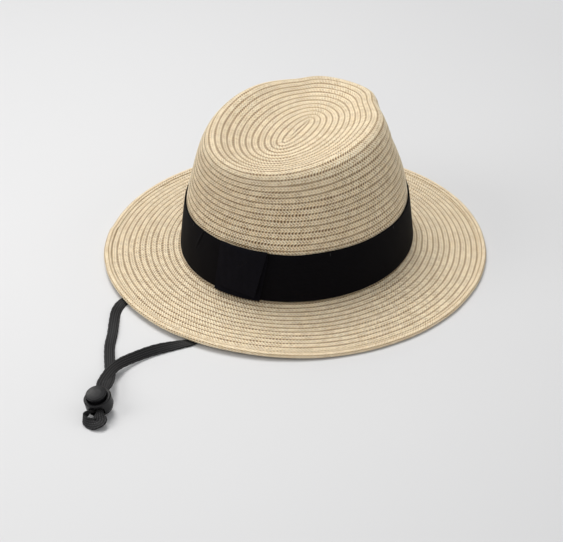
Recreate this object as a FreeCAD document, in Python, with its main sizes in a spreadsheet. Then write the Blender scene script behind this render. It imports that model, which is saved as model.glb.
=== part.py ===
import FreeCAD, Part
import os, math
import Sketcher
from FreeCAD import Vector, Placement, Rotation

# Braided straw sun hat with a ribbon band and a chin cord with a push-button cord lock.
# Frame: +Z up, front of the hat towards -Y, origin on the standing surface below the
# centre of the hat. Millimetres.

doc = FreeCAD.newDocument("straw_hat")

# ---------------------------------------------------------------- driving dimensions
sheet = doc.addObject("Spreadsheet::Sheet", "dims")
VALUES = [
    ("brim_half_x", 153.0), ("brim_half_y", 156.2), ("straw_thick", 2.0),
    ("edge_height", 3.9), ("edge_width", 6.0), ("edge_wave", 3.9),
    ("brim_inner_x", 88.5), ("brim_inner_y", 94.7), ("brim_mid_inner", 11.0),
    ("wire_dia", 1.1),
    ("crest_lift", 1.7), ("front_rise", 5.35), ("front_drop", 6.5), ("front_draw", 0.057), ("front_spread", 0.134),
    ("pinch_depth", 7.26), ("pinch_angle", 38.1),
    ("band_bottom", 12.6), ("band_width", 40.0), ("band_thick", 0.8),
    ("band_foot_x", 91.55), ("band_foot_y", 97.75), ("band_head_x", 88.35), ("band_head_y", 93.6),
    ("keeper_width", 35.0), ("keeper_thick", 1.7), ("keeper_height", 41.5), ("keeper_angle", 95.0),
    ("sweat_bottom", 12.4), ("sweat_width", 32.0), ("sweat_thick", 1.0),
    ("sweat_foot_x", 88.0), ("sweat_foot_y", 94.2), ("sweat_head_x", 85.6), ("sweat_head_y", 91.0),
    ("cord_tube_dia", 3.0),
    ("lock_body_dia", 20.4), ("lock_body_tall", 13.0), ("lock_base_dia", 14.0),
    ("lock_bore_dia", 14.2), ("lock_floor", 1.2),
    ("lock_window_wide", 12.0), ("lock_window_low", 4.2), ("lock_window_high", 10.8),
    ("button_dia", 15.2), ("button_stem_dia", 13.0), ("button_under", 15.3), ("button_top", 17.3),
    ("button_slot_wide", 9.0), ("button_slot_low", 5.7), ("button_slot_high", 12.0),
    ("button_stem_low", 3.9), ("spring_wire", 0.5),
]
for i, (name, val) in enumerate(VALUES):
    cell = "B%d" % (i + 1)
    sheet.set("A%d" % (i + 1), name)
    sheet.set(cell, str(val))
    sheet.setAlias(cell, name)
doc.recompute()


def dim(name):
    return float(sheet.get(name))


parts = {}          # node name -> document object whose Shape is written


def label(obj, name, place=None):
    obj.Label = name
    if place is not None:
        obj.Placement = place
    parts[name] = obj
    return obj


# ---------------------------------------------------------------- free-form ring solids
def round_curve(point, a, b, start=0.0):
    """Closed smooth curve round the hat through one corner (a, b) of a profile."""
    poles = [point(math.radians(start) + 2.0 * math.pi * i / U, a, b) for i in range(U)]
    c = Part.BSplineCurve()
    c.buildFromPolesMultsKnots(poles, [1] * (U + 1), [float(k) for k in range(U + 1)], True, 3)
    return c


def ring_solid(point, profile, flat_strip=None, start=0.0):
    """Closed ring: a closed profile (list of (a, b) corners) carried round the hat, with one
    ruled strip for each side of the profile. flat_strip names the side that lies on the
    standing surface: wherever it is level it becomes a true plane."""
    n = len(profile)
    curves = [round_curve(point, p[0], p[1], start) for p in profile]
    spans = [(0.0, float(U))]
    if flat_strip is not None:
        c1, c2 = curves[flat_strip], curves[(flat_strip + 1) % n]
        level = [k for k in range(U + 1) if abs(c1.value(k).z) < 1e-9 and abs(c2.value(k).z) < 1e-9
                 and abs(c1.value(min(k + 0.5, U)).z) < 1e-9]
        ua, ub = float(level[0]), float([k for k in level if all(j in level for j in range(level[0], k + 1))][-1])
        spans = [(ua, ub), (ub, ua + U)]
    faces = []
    for k, (lo, hi) in enumerate(spans):
        edges = []
        for c in curves:
            if len(spans) == 1:
                edges.append(c.toShape())
            else:
                piece = c.copy()
                piece.segment(lo, hi)
                edges.append(piece.toShape())
        for j in range(n):
            e1, e2 = edges[j], edges[(j + 1) % n]
            if k == 0 and flat_strip == j:
                s1 = Part.LineSegment(e1.valueAt(e1.LastParameter), e2.valueAt(e2.LastParameter)).toShape()
                s2 = Part.LineSegment(e2.valueAt(e2.FirstParameter), e1.valueAt(e1.FirstParameter)).toShape()
                faces.append(Part.Face(Part.Wire([e1, s1, e2, s2])))
            else:
                faces.append(Part.makeRuledSurface(e1, e2))
    shell = Part.makeShell(faces)
    shell.sewShape(1e-4)
    if shell.ShapeType != "Shell":
        shell = shell.Shells[0]
    solid = Part.Solid(shell)
    if solid.Volume < 0:
        solid.reverse()
    return solid


def smooth(x):
    x = max(0.0, min(1.0, x))
    return x * x * (3.0 - 2.0 * x)


def wave(t):
    """Lift of the brim's edge at the back, where the two cord strands pass under it."""
    d = math.degrees(t) % 360.0
    if d > 270.0:
        d -= 360.0
    return dim("edge_wave") * smooth((d - 16.0) / 38.0) * smooth((141.0 - d) / 38.0)


U = 72
SHRINK = 3.0 / (2.0 + math.cos(2.0 * math.pi / U))      # keeps the cubic on the true oval

# ---- crown: outer levels (height, half width, half length), up the wall and into the dent
LEVELS = [(12.1, 90.5, 96.7), (17.0, 90.1, 96.2), (25.0, 89.5, 95.5), (33.0, 88.9, 94.6), (44.0, 88.1, 93.6),
          (53.0, 87.3, 92.5), (63.4, 85.2, 90.0), (73.8, 82.9, 88.0), (84.2, 80.2, 86.6), (93.6, 77.2, 85.9),
          (101.9, 74.1, 85.5), (109.2, 70.4, 85.3), (115.0, 66.6, 84.9), (118.6, 62.5, 83.6), (119.9, 58.2, 81.0),
          (118.9, 53.2, 76.4), (116.3, 47.1, 69.6), (113.5, 39.5, 60.0), (111.3, 31.4, 49.2), (110.0, 22.8, 37.3),
          (109.4, 14.7, 25.5), (109.2, 8.1, 14.7), (109.15, 3.0, 6.2)]


def crown_point(t, z, ax, ay, sink):
    """A point of the crown's outer surface at angle t: the oval level (z, ax, ay) is drawn
    in a little at the front, pinched on both front sides, and tilted up towards the front."""
    up = max(0.0, min(1.05, (z - 53.0) / 64.0))
    x, y0 = ax * math.cos(t), ay * math.sin(t)
    front = max(0.0, min(1.2, -y0 / 80.0))
    z = z + dim("crest_lift") * up
    y = y0 * (1.0 - dim("front_draw") * up) if y0 < 0 else y0
    x = x * (1.0 + dim("front_spread") * front ** 2 * up)
    r = math.hypot(x, y)
    g = max(0.0, min(1.0, (z - 63.7) / 35.0)) ** 1.5
    d = 0.0
    for s in (-1.0, 1.0):
        dt = (math.degrees(t) + 90.0 - s * dim("pinch_angle") + 180.0) % 360.0 - 180.0
        w = 0.427 if dt * s > 0 else 0.22             # slow on the side, quick towards the front fold
        d += dim("pinch_depth") * math.exp(-(math.radians(dt) / w) ** 2) * g
    d *= max(0.0, min(1.0, (ax - 30.0) / 28.0))       # the pinch dies out inside the crest
    k = 1.0 - d / max(r, 20.0) * max(0.0, min(1.0, r / 60.0))
    zt = z + dim("front_rise") * max(0.0, min(1.2, (z - 53.0) / 64.0)) * (-y0 / 75.0) - dim("front_drop") * front ** 2 * up ** 2
    return Vector(x * k * SHRINK, y * k * SHRINK, zt)


def crown_profile():
    th = dim("straw_thick")
    outer = list(LEVELS)
    inner = []
    n = len(outer)
    for i in range(n):
        a = outer[max(0, i - 1)]
        b = outer[min(n - 1, i + 1)]
        dr, dz = (b[1] + b[2] - a[1] - a[2]) / 2.0, b[0] - a[0]
        ln = math.hypot(dr, dz)
        nr, nz = dz / ln, -dr / ln                    # outward normal of the rising wall
        z, ax, ay = outer[i]
        inner.append((z - th * nz, max(ax - th * nr, 3.0), max(ay - th * nr, 5.0)))
    inner[0] = (12.1, outer[0][1] - th, outer[0][2] - th)
    return outer, inner


# the wall and the dented tip are separate shells that meet face to face at one level
TIP_LEVEL = 10
OUT, INN = crown_profile()
for nm, lo, hi in (("straw_crown", 0, TIP_LEVEL + 1), ("straw_crown_tip", TIP_LEVEL, len(OUT))):
    shell = doc.addObject("Part::Feature", "CrownWall" if lo == 0 else "CrownTip")
    shell.Shape = ring_solid(lambda t, p, s: crown_point(t, p[0], p[1], p[2], s),
                             [(p, 0.0) for p in OUT[lo:hi]] + [(p, 0.0) for p in reversed(INN[lo:hi])])
    label(shell, nm, Placement(Vector(0, 0, 0), Rotation()))


# ---- brim: a thin sheet that falls gently from the crown's foot to the edge
def brim_mid(rho):
    lo = dim("edge_height") / 2.0
    hi = dim("brim_mid_inner")
    s = min(1.0, rho / 0.94)
    return hi + (lo - hi) * (s + 0.10 * math.sin(math.pi * s))


def brim_point(t, rho, dz):
    ax = dim("brim_inner_x") + (dim("brim_half_x") - 2.6 - dim("brim_inner_x")) * rho
    ay = dim("brim_inner_y") + (dim("brim_half_y") - 2.6 - dim("brim_inner_y")) * rho
    z = brim_mid(rho) + dz + wave(t) * smooth((rho - 0.15) / 0.7)
    return Vector(ax * math.cos(t) * SHRINK, ay * math.sin(t) * SHRINK, z)


h = dim("straw_thick") / 2.0 - 0.06
rhos = [0.0, 0.15, 0.3, 0.45, 0.6, 0.75, 0.86, 0.94, 1.0]
brim_profile = [(r, h) for r in rhos] + [(r, -h) for r in reversed(rhos)]
brim = doc.addObject("Part::Feature", "Brim")
brim.Shape = ring_solid(brim_point, brim_profile)
label(brim, "straw_brim", Placement(Vector(0, 0, 0), Rotation()))

# ---- doubled edge row: folded over the brim's edge, with a wire in the fold
EH = dim("edge_height")
EW = dim("edge_width")


def edge_point(t, a, z):
    """a: distance inwards from the outermost line."""
    ax = dim("brim_half_x") - a
    ay = dim("brim_half_y") - a
    return Vector(ax * math.cos(t) * SHRINK, ay * math.sin(t) * SHRINK, z + wave(t))


w0 = 0.88            # thickness of one folded layer
edge_profile = [(EW, 0.0), (EW, w0), (2.4, w0), (1.2, w0 + 0.2), (0.85, EH * 0.5), (1.2, EH - w0 - 0.2),
                (2.4, EH - w0), (EW, EH - w0), (EW, EH), (1.9, EH), (0.9, EH - 0.35), (0.22, EH - 1.05),
                (0.0, EH * 0.5), (0.22, 1.05), (0.7, 0.35), (1.3, 0.0)]
edge = doc.addObject("Part::Feature", "EdgeRow")
edge.Shape = ring_solid(edge_point, edge_profile, flat_strip=len(edge_profile) - 1, start=165.0)
label(edge, "brim_edge_braid", Placement(Vector(0, 0, 0), Rotation()))

# ---- stiffening wire in the fold
WR = dim("wire_dia") / 2.0
wire_prof = [(1.70 + WR * math.cos(q * math.pi / 6), EH * 0.5 + WR * math.sin(q * math.pi / 6)) for q in range(12)]
wire = doc.addObject("Part::Feature", "Wire")
wire.Shape = ring_solid(edge_point, wire_prof)
label(wire, "brim_wire", Placement(Vector(0, 0, 0), Rotation()))


# ---------------------------------------------------------------- PartDesign helpers
def plane_of(body, role):
    for f in body.Origin.OriginFeatures:
        if f.Role == role:
            return f
    raise RuntimeError(role)


def new_body(name):
    return doc.addObject("PartDesign::Body", name)


def sketch_on(body, name, role="XY_Plane", z_expr=None):
    sk = body.newObject("Sketcher::SketchObject", name)
    sk.AttachmentSupport = [(plane_of(body, role), "")]
    sk.MapMode = "FlatFace"
    if z_expr:
        sk.setExpression("AttachmentOffset.Base.z", z_expr)
    return sk


def oval(sk, long_expr, short_expr, grow=0.0, major="y"):
    """Ellipse centred on the origin with its half-lengths driven by the sheet."""
    lv, sv = 100.0 + grow, 90.0 + grow
    if major == "y":
        g = sk.addGeometry(Part.Ellipse(Vector(0, lv, 0), Vector(sv, 0, 0), Vector(0, 0, 0)), False)
    else:
        g = sk.addGeometry(Part.Ellipse(Vector(lv, 0, 0), Vector(0, sv, 0), Vector(0, 0, 0)), False)
    sk.exposeInternalGeometry(g)
    # internal geometry: major axis line g+1, minor axis line g+2
    sk.addConstraint(Sketcher.Constraint("Coincident", g, 3, -1, 1))
    sk.addConstraint(Sketcher.Constraint("Vertical" if major == "y" else "Horizontal", g + 1))
    c1 = sk.addConstraint(Sketcher.Constraint("Distance", g + 1, 2 * lv))
    c2 = sk.addConstraint(Sketcher.Constraint("Distance", g + 2, 2 * sv))
    sk.setExpression("Constraints[%d]" % c1, "2 * (%s)" % long_expr)
    sk.setExpression("Constraints[%d]" % c2, "2 * (%s)" % short_expr)
    return g


def oval_band(name, foot, head, zlow, zhigh, thick, out=True):
    """Tapered oval band: loft of two ovals, hollowed by a second loft."""
    body = new_body(name)
    s1 = sketch_on(body, name + "_foot", z_expr=zlow)
    oval(s1, foot[1], foot[0])
    s2 = sketch_on(body, name + "_head", z_expr=zhigh)
    oval(s2, head[1], head[0])
    lo = body.newObject("PartDesign::AdditiveLoft", name + "_outer")
    lo.Profile = (s1, [""])
    lo.Sections = [(s2, [""])]
    lo.Ruled = True
    doc.recompute()
    s3 = sketch_on(body, name + "_foot_in", z_expr=zlow)
    oval(s3, "%s - %s" % (foot[1], thick), "%s - %s" % (foot[0], thick))
    s4 = sketch_on(body, name + "_head_in", z_expr=zhigh)
    oval(s4, "%s - %s" % (head[1], thick), "%s - %s" % (head[0], thick))
    li = body.newObject("PartDesign::SubtractiveLoft", name + "_inner")
    li.Profile = (s3, [""])
    li.Sections = [(s4, [""])]
    li.Ruled = True
    body.Tip = li
    doc.recompute()
    return body


# ---- ribbon hatband, with the slit of its join hidden under the keeper
band = oval_band("Hatband", ("dims.band_foot_x", "dims.band_foot_y"), ("dims.band_head_x", "dims.band_head_y"),
                 "dims.band_bottom", "dims.band_bottom + dims.band_width", "dims.band_thick")
slit = sketch_on(band, "Hatband_join")
ca, sa = math.cos(math.radians(95.0)), math.sin(math.radians(95.0))
pts = [Vector(ca * 80 - sa * 0.3, sa * 80 + ca * 0.3, 0), Vector(ca * 80 + sa * 0.3, sa * 80 - ca * 0.3, 0),
       Vector(ca * 120 + sa * 0.3, sa * 120 - ca * 0.3, 0), Vector(ca * 120 - sa * 0.3, sa * 120 + ca * 0.3, 0)]
for i in range(4):
    slit.addGeometry(Part.LineSegment(pts[i], pts[(i + 1) % 4]), False)
for i in range(4):
    slit.addConstraint(Sketcher.Constraint("Coincident", i, 2, (i + 1) % 4, 1))
    slit.addConstraint(Sketcher.Constraint("Block", i))
pk = band.newObject("PartDesign::Pocket", "Hatband_slit")
pk.Profile = (slit, [""])
pk.Type = 1
pk.Midplane = True
doc.recompute()
band.Tip = pk
doc.recompute()
label(band, "hatband_ribbon", Placement(Vector(0, 0, 0), Rotation()))

# ---- sweatband
sweat = oval_band("Sweatband", ("dims.sweat_foot_x", "dims.sweat_foot_y"), ("dims.sweat_head_x", "dims.sweat_head_y"),
                  "dims.sweat_bottom", "dims.sweat_bottom + dims.sweat_width", "dims.sweat_thick")
label(sweat, "sweatband", Placement(Vector(0, 0, 0), Rotation()))

# ---- keeper: a folded piece of the same ribbon over the band's join
keeper_ring = oval_band("KeeperRing",
                        ("dims.band_foot_x + dims.keeper_thick + 0.15", "dims.band_foot_y + dims.keeper_thick + 0.15"),
                        ("dims.band_head_x + dims.keeper_thick + 0.15", "dims.band_head_y + dims.keeper_thick + 0.15"),
                        "dims.band_bottom - 0.1", "dims.band_bottom - 0.1 + dims.keeper_height", "dims.keeper_thick")
keeper_box = doc.addObject("Part::Box", "KeeperCut")
keeper_box.setExpression("Length", "dims.keeper_width")
keeper_box.Width = 60
keeper_box.Height = 80
ang = dim("keeper_angle")
rot = Rotation(Vector(0, 0, 1), ang - 90.0)
keeper_box.Placement = Placement(rot.multVec(Vector(-dim("keeper_width") / 2.0, 60, 0)), rot)
keeper = doc.addObject("Part::Common", "Keeper")
keeper.Base = keeper_ring
keeper.Tool = keeper_box
doc.recompute()
label(keeper, "ribbon_keeper", Placement(Vector(0, 0, 0), Rotation()))


# ---------------------------------------------------------------- small sewn pieces
def stitch(center, direction, length, dia):
    d = Vector(direction)
    d.normalize()
    return Part.makeCylinder(dia / 2.0, length, center.sub(d.multiply(length / 2.0)), Vector(direction))


# thread tacks that hold the ribbon's top edge to the straw, spaced round the band
tacks = []
for a in (20, 60, 140, 180, 220, 262, 305, 345):
    t = math.radians(a)
    z = dim("band_bottom") + dim("band_width") - 2.2
    f = (z - dim("band_bottom")) / dim("band_width")
    bx = dim("band_foot_x") + (dim("band_head_x") - dim("band_foot_x")) * f + 0.42
    by = dim("band_foot_y") + (dim("band_head_y") - dim("band_foot_y")) * f + 0.42
    c = Vector(bx * math.cos(t), by * math.sin(t), z)
    tacks.append(stitch(c, Vector(-(dim("band_foot_y") - dim("band_head_y")) / 40.0 * math.cos(t),
                                  -(dim("band_foot_y") - dim("band_head_y")) / 40.0 * math.sin(t), 1.0), 2.6, 0.5))
tk = doc.addObject("Part::Feature", "Tacks")
tk.Shape = Part.makeCompound(tacks)
label(tk, "hatband_tacks", Placement(Vector(0, 0, 0), Rotation()))

# lock stitches along the sweatband's lower edge
st = []
n_st = 56
for i in range(n_st):
    t = 2 * math.pi * (i + 0.5) / n_st
    z = dim("sweat_bottom") + 2.5
    bx = dim("sweat_foot_x") - dim("sweat_thick") - 0.80
    by = dim("sweat_foot_y") - dim("sweat_thick") - 0.80
    c = Vector(bx * math.cos(t), by * math.sin(t), z)
    st.append(stitch(c, Vector(-bx * math.sin(t), by * math.cos(t), 0), 5.0, 0.5))
sw = doc.addObject("Part::Feature", "SweatStitches")
sw.Shape = Part.makeCompound(st)
label(sw, "sweatband_stitching", Placement(Vector(0, 0, 0), Rotation()))

# blank woven label, sewn inside at the back below the sweatband's top
lab = doc.addObject("Part::Box", "LabelTape")
lab.Length = 30
lab.Width = 0.5
lab.Height = 18
label(lab, "blank_label", Placement(Vector(-15, dim("sweat_head_y") - dim("sweat_thick") - 1.7, 20.5), Rotation()))

# bar tacks that hold the cord's two ends on the sweatband
CORD_END_Y = 14.0
tack_x = 82.0
for side, nm in ((1, "cord_tack_left"), (-1, "cord_tack_right")):
    b = doc.addObject("Part::Box", "Tack_%s" % ("L" if side > 0 else "R"))
    b.Length = 3.0
    b.Width = 9.0
    b.Height = 11.0
    label(b, nm, Placement(Vector(side * tack_x - 1.5, CORD_END_Y - 4.5, 18.6), Rotation()))

# ---------------------------------------------------------------- cord lock frame
AX = Vector(0.0800, 0.2160, 0.9731)
AX.normalize()
HP = Vector(-0.42, 0.907, 0)
HP.normalize()
HX = Vector(HP.x, HP.y, -(AX.x * HP.x + AX.y * HP.y) / AX.z)
HX.normalize()
YV = AX.cross(HX)
P0 = Vector(2.28, 261.57, 1.70)
m = FreeCAD.Matrix(HX.x, YV.x, AX.x, P0.x, HX.y, YV.y, AX.y, P0.y, HX.z, YV.z, AX.z, P0.z, 0, 0, 0, 1)
LOCK = Placement(m)


def lock_point(x, y, z):
    return LOCK.multVec(Vector(x, y, z))


# ---------------------------------------------------------------- chin cord
# Route of the cord's centre line: left end, out under the brim, through the lock, round the
# loop, back through the lock, under the brim, right end.
R0 = dim("cord_tube_dia") / 2.0
F = R0 + 0.05
HZ = 7.6
cord_left = [(82.0, 14.0, 18.6), (81.9, 14.8, 12.0), (79.5, 19.5, 5.2), (74.0, 29.0, F), (60.0, 40.0, F), (40.0, 64.0, F),
             (36.0, 88.0, F), (48.0, 107.0, F), (67.0, 121.0, F), (70.6, 140.7, F), (67.5, 157.0, F), (58.2, 176.0, F),
             (47.0, 193.5, F), (34.2, 208.8, 1.9), (22.0, 226.0, 6.4)]
lock_in_a = [lock_point(-15.5, 2.2, HZ)]


def beside_lock(x, y, level):
    """Point at x, y in the lock's frame (at mid-height of its window), at a level above the floor."""
    p = lock_point(x, y, HZ)
    return Vector(p.x, p.y, level)


loop = [lock_point(14.0, 2.2, HZ), beside_lock(18.6, 5.2, 4.6), beside_lock(23.4, 5.0, 2.6),
        beside_lock(26.3, 0.0, 1.7), beside_lock(23.4, -5.0, 2.2), beside_lock(18.6, -5.2, 4.0),
        lock_point(14.0, -2.2, HZ)]
lock_in_b = [lock_point(-15.5, -2.2, HZ)]
cord_right = [(24.6, 231.0, 9.9), (24.2, 216.5, 8.4), (20.5, 204.0, 6.2), (14.5, 190.5, 3.4), (7.0, 176.5, 1.9), (-0.5, 165.5, F),
              (-4.8, 150.0, F), (-3.0, 128.0, F), (-16.0, 108.0, F), (-34.0, 92.0, F), (-38.0, 68.0, F), (-52.0, 48.0, F),
              (-74.0, 29.5, F), (-79.5, 19.8, 5.2), (-81.9, 14.8, 12.0), (-82.0, 14.0, 18.6)]
route = [Vector(*p) for p in cord_left] + lock_in_a + loop + lock_in_b + [Vector(*p) for p in cord_right]


def rounded_path(pts, frac=0.45):
    edges = []
    radii = []
    cur = pts[0]
    for i in range(1, len(pts) - 1):
        p = pts[i]
        u = pts[i - 1].sub(p)
        v = pts[i + 1].sub(p)
        lu, lv = u.Length, v.Length
        u.normalize()
        v.normalize()
        turn = math.pi - u.getAngle(v)
        cut = frac * min(lu, lv)
        rad = cut / math.tan(turn / 2.0)
        radii.append((round(math.degrees(turn), 1), round(rad, 1), round(min(lu, lv), 1)))
        a = p.add(Vector(u).multiply(cut))
        b = p.add(Vector(v).multiply(cut))
        bis = u.add(v)
        bis.normalize()
        mid = p.add(Vector(bis).multiply(rad / math.cos(turn / 2.0) - rad))
        edges.append(Part.LineSegment(cur, a).toShape())
        edges.append(Part.Arc(a, mid, b).toShape())
        cur = b
    edges.append(Part.LineSegment(cur, pts[-1]).toShape())
    return Part.Wire(edges), radii


path, radii = rounded_path(route)
for i, r in enumerate(radii):
    print("corner", i + 1, "turn %.1f deg, radius %.1f mm, shorter run %.1f mm" % r)
start_dir = route[1].sub(route[0])
section = Part.Wire([Part.Circle(route[0], start_dir, R0).toShape()])
tube = path.makePipeShell([section], True, False)
print("cord length", round(path.Length, 1), "tube volume", round(tube.Volume, 1), "expected", round(path.Length * math.pi * R0 * R0, 1))
cord = doc.addObject("Part::Feature", "ChinCord")
cord.Shape = tube
label(cord, "chin_cord", Placement(Vector(0, 0, 0), Rotation()))


# ---------------------------------------------------------------- cord lock (built upright, then placed)
def closed_lines(sk, pts):
    """Polyline of 2D points, closed, fixed by constraints."""
    n = len(pts)
    for i in range(n):
        a, b = pts[i], pts[(i + 1) % n]
        sk.addGeometry(Part.LineSegment(Vector(a[0], a[1], 0), Vector(b[0], b[1], 0)), False)
    for i in range(n):
        sk.addConstraint(Sketcher.Constraint("Coincident", i, 2, (i + 1) % n, 1))


def pin_point(sk, line, x_expr, y_expr):
    """Fix the start of a line at sheet-driven coordinates in the sketch."""
    p = sk.getPoint(line, 1)
    cx = sk.addConstraint(Sketcher.Constraint("DistanceX", -1, 1, line, 1, p.x))
    cy = sk.addConstraint(Sketcher.Constraint("DistanceY", -1, 1, line, 1, p.y))
    sk.setExpression("Constraints[%d]" % cx, x_expr)
    sk.setExpression("Constraints[%d]" % cy, y_expr)


def revolve_body(name, pts):
    """pts: list of (x value, z value, x expr, z expr) in the XZ plane, revolved about Z."""
    body = new_body(name)
    sk = sketch_on(body, name + "_profile", "XZ_Plane")
    closed_lines(sk, [(p[0], p[1]) for p in pts])
    for i, p in enumerate(pts):
        pin_point(sk, i, p[2], p[3])
    rev = body.newObject("PartDesign::Revolution", name + "_turn")
    rev.Profile = (sk, [""])
    rev.ReferenceAxis = (sk, ["V_Axis"])
    rev.Angle = 360
    doc.recompute()
    body.Tip = rev
    return body


barrel = revolve_body("LockBarrel", [
    (0.001, 0.0, "0.001", "0"),
    (7.0, 0.0, "dims.lock_base_dia / 2", "0"),
    (9.3, 2.0, "dims.lock_body_dia / 2 - 0.9", "2"),
    (10.2, 4.6, "dims.lock_body_dia / 2", "4.6"),
    (10.2, 12.3, "dims.lock_body_dia / 2", "dims.lock_body_tall - 0.7"),
    (9.5, 13.0, "dims.lock_body_dia / 2 - 0.7", "dims.lock_body_tall"),
    (8.2, 13.0, "dims.lock_bore_dia / 2 + 1.1", "dims.lock_body_tall"),
    (7.1, 12.2, "dims.lock_bore_dia / 2", "dims.lock_body_tall - 0.8"),
    (7.1, 1.2, "dims.lock_bore_dia / 2", "dims.lock_floor"),
    (0.001, 1.2, "0.001", "dims.lock_floor"),
])
win = sketch_on(barrel, "LockBarrel_window", "YZ_Plane")
hw = dim("lock_window_wide") / 2.0
lo_w, hi_w = dim("lock_window_low"), dim("lock_window_high")
# arch: flat bottom, straight sides, rounded top corners of 3.2 mm
rr = 3.2
g = []
g.append(win.addGeometry(Part.LineSegment(Vector(-hw, lo_w, 0), Vector(hw, lo_w, 0)), False))
g.append(win.addGeometry(Part.LineSegment(Vector(hw, lo_w, 0), Vector(hw, hi_w - rr, 0)), False))
g.append(win.addGeometry(Part.ArcOfCircle(Part.Circle(Vector(hw - rr, hi_w - rr, 0), Vector(0, 0, 1), rr), 0, math.pi / 2), False))
g.append(win.addGeometry(Part.LineSegment(Vector(hw - rr, hi_w, 0), Vector(-hw + rr, hi_w, 0)), False))
g.append(win.addGeometry(Part.ArcOfCircle(Part.Circle(Vector(-hw + rr, hi_w - rr, 0), Vector(0, 0, 1), rr), math.pi / 2, math.pi), False))
g.append(win.addGeometry(Part.LineSegment(Vector(-hw, hi_w - rr, 0), Vector(-hw, lo_w, 0)), False))
for i in g:
    win.addConstraint(Sketcher.Constraint("Block", i))
wp = barrel.newObject("PartDesign::Pocket", "LockBarrel_cut")
wp.Profile = (win, [""])
wp.Type = 1
wp.Midplane = True
doc.recompute()
barrel.Tip = wp
doc.recompute()
label(barrel, "cord_lock_barrel", LOCK)

button = revolve_body("LockButton", [
    (0.001, 3.9, "0.001", "dims.button_stem_low"),
    (6.1, 3.9, "dims.button_stem_dia / 2 - 0.4", "dims.button_stem_low"),
    (6.5, 4.3, "dims.button_stem_dia / 2", "dims.button_stem_low + 0.4"),
    (6.5, 15.3, "dims.button_stem_dia / 2", "dims.button_under"),
    (7.2, 15.3, "dims.button_dia / 2 - 0.4", "dims.button_under"),
    (7.6, 15.7, "dims.button_dia / 2", "dims.button_under + 0.4"),
    (7.6, 16.8, "dims.button_dia / 2", "dims.button_top - 0.5"),
    (7.1, 17.3, "dims.button_dia / 2 - 0.5", "dims.button_top"),
    (6.4, 17.15, "dims.button_dia / 2 - 1.2", "dims.button_top - 0.15"),
    (4.0, 16.7, "4", "dims.button_top - 0.6"),
    (0.001, 16.5, "0.001", "dims.button_top - 0.8"),
])
bs = sketch_on(button, "LockButton_slot", "YZ_Plane")
bw = dim("button_slot_wide") / 2.0
closed_lines(bs, [(-bw, dim("button_slot_low")), (bw, dim("button_slot_low")), (bw, dim("button_slot_high")), (-bw, dim("button_slot_high"))])
for i, (xe, ye) in enumerate((("-dims.button_slot_wide / 2", "dims.button_slot_low"), ("dims.button_slot_wide / 2", "dims.button_slot_low"),
                              ("dims.button_slot_wide / 2", "dims.button_slot_high"), ("-dims.button_slot_wide / 2", "dims.button_slot_high"))):
    pin_point(bs, i, xe, ye)
bp = button.newObject("PartDesign::Pocket", "LockButton_cut")
bp.Profile = (bs, [""])
bp.Type = 1
bp.Midplane = True
doc.recompute()
button.Tip = bp
doc.recompute()
label(button, "cord_lock_button", LOCK)

# conical spring under the button's stem
sr = dim("spring_wire") / 2.0
gap_lo = dim("lock_floor") + sr + 0.05
gap_hi = dim("button_stem_low") - sr - 0.05
turns = 3.0
spts = []
for i in range(int(turns * 12) + 1):
    q = i / (turns * 12.0)
    rad = 5.4 - 3.0 * q
    t = 2 * math.pi * turns * q
    spts.append(Vector(rad * math.cos(t), rad * math.sin(t), gap_lo + (gap_hi - gap_lo) * q))
sp_path, sp_radii = rounded_path(spts, 0.48)
sp_sec = Part.Wire([Part.Circle(spts[0], spts[1].sub(spts[0]), sr).toShape()])
spring = doc.addObject("Part::Feature", "LockSpring")
spring.Shape = sp_path.makePipeShell([sp_sec], True, False)
label(spring, "cord_lock_spring", LOCK)

# ---------------------------------------------------------------- checks and export
doc.recompute()
bad = []
for obj in doc.Objects:
    if any(s in ("Invalid", "Error") for s in obj.State):
        bad.append(obj.Name)
for name, obj in parts.items():
    if obj.Shape.isNull() or not obj.Shape.isValid():
        bad.append(name)
if bad:
    raise RuntimeError("failed objects: " + ", ".join(bad))
os.makedirs("parts", exist_ok=True)
for name, obj in parts.items():
    obj.Shape.exportStep("parts/%s.step" % name)
    bb = obj.Shape.optimalBoundingBox(False)
    print("%-22s solids %2d  vol %10.1f  x %.1f..%.1f y %.1f..%.1f z %.2f..%.2f" % (
        name, len(obj.Shape.Solids), obj.Shape.Volume, bb.XMin, bb.XMax, bb.YMin, bb.YMax, bb.ZMin, bb.ZMax))
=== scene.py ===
import bpy, math
import numpy as np
from mathutils import Vector, Matrix


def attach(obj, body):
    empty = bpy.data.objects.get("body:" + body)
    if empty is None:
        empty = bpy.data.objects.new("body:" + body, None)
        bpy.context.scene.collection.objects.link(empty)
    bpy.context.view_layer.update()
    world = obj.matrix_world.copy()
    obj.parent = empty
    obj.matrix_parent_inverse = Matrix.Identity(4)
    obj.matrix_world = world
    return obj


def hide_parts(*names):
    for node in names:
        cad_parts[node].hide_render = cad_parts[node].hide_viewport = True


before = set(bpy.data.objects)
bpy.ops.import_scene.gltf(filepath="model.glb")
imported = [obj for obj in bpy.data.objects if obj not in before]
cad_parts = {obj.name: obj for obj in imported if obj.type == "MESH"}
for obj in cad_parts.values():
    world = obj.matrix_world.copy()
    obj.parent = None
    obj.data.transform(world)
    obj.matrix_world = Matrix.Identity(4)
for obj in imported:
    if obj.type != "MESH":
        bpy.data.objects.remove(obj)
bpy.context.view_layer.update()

MM = 0.001

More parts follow.
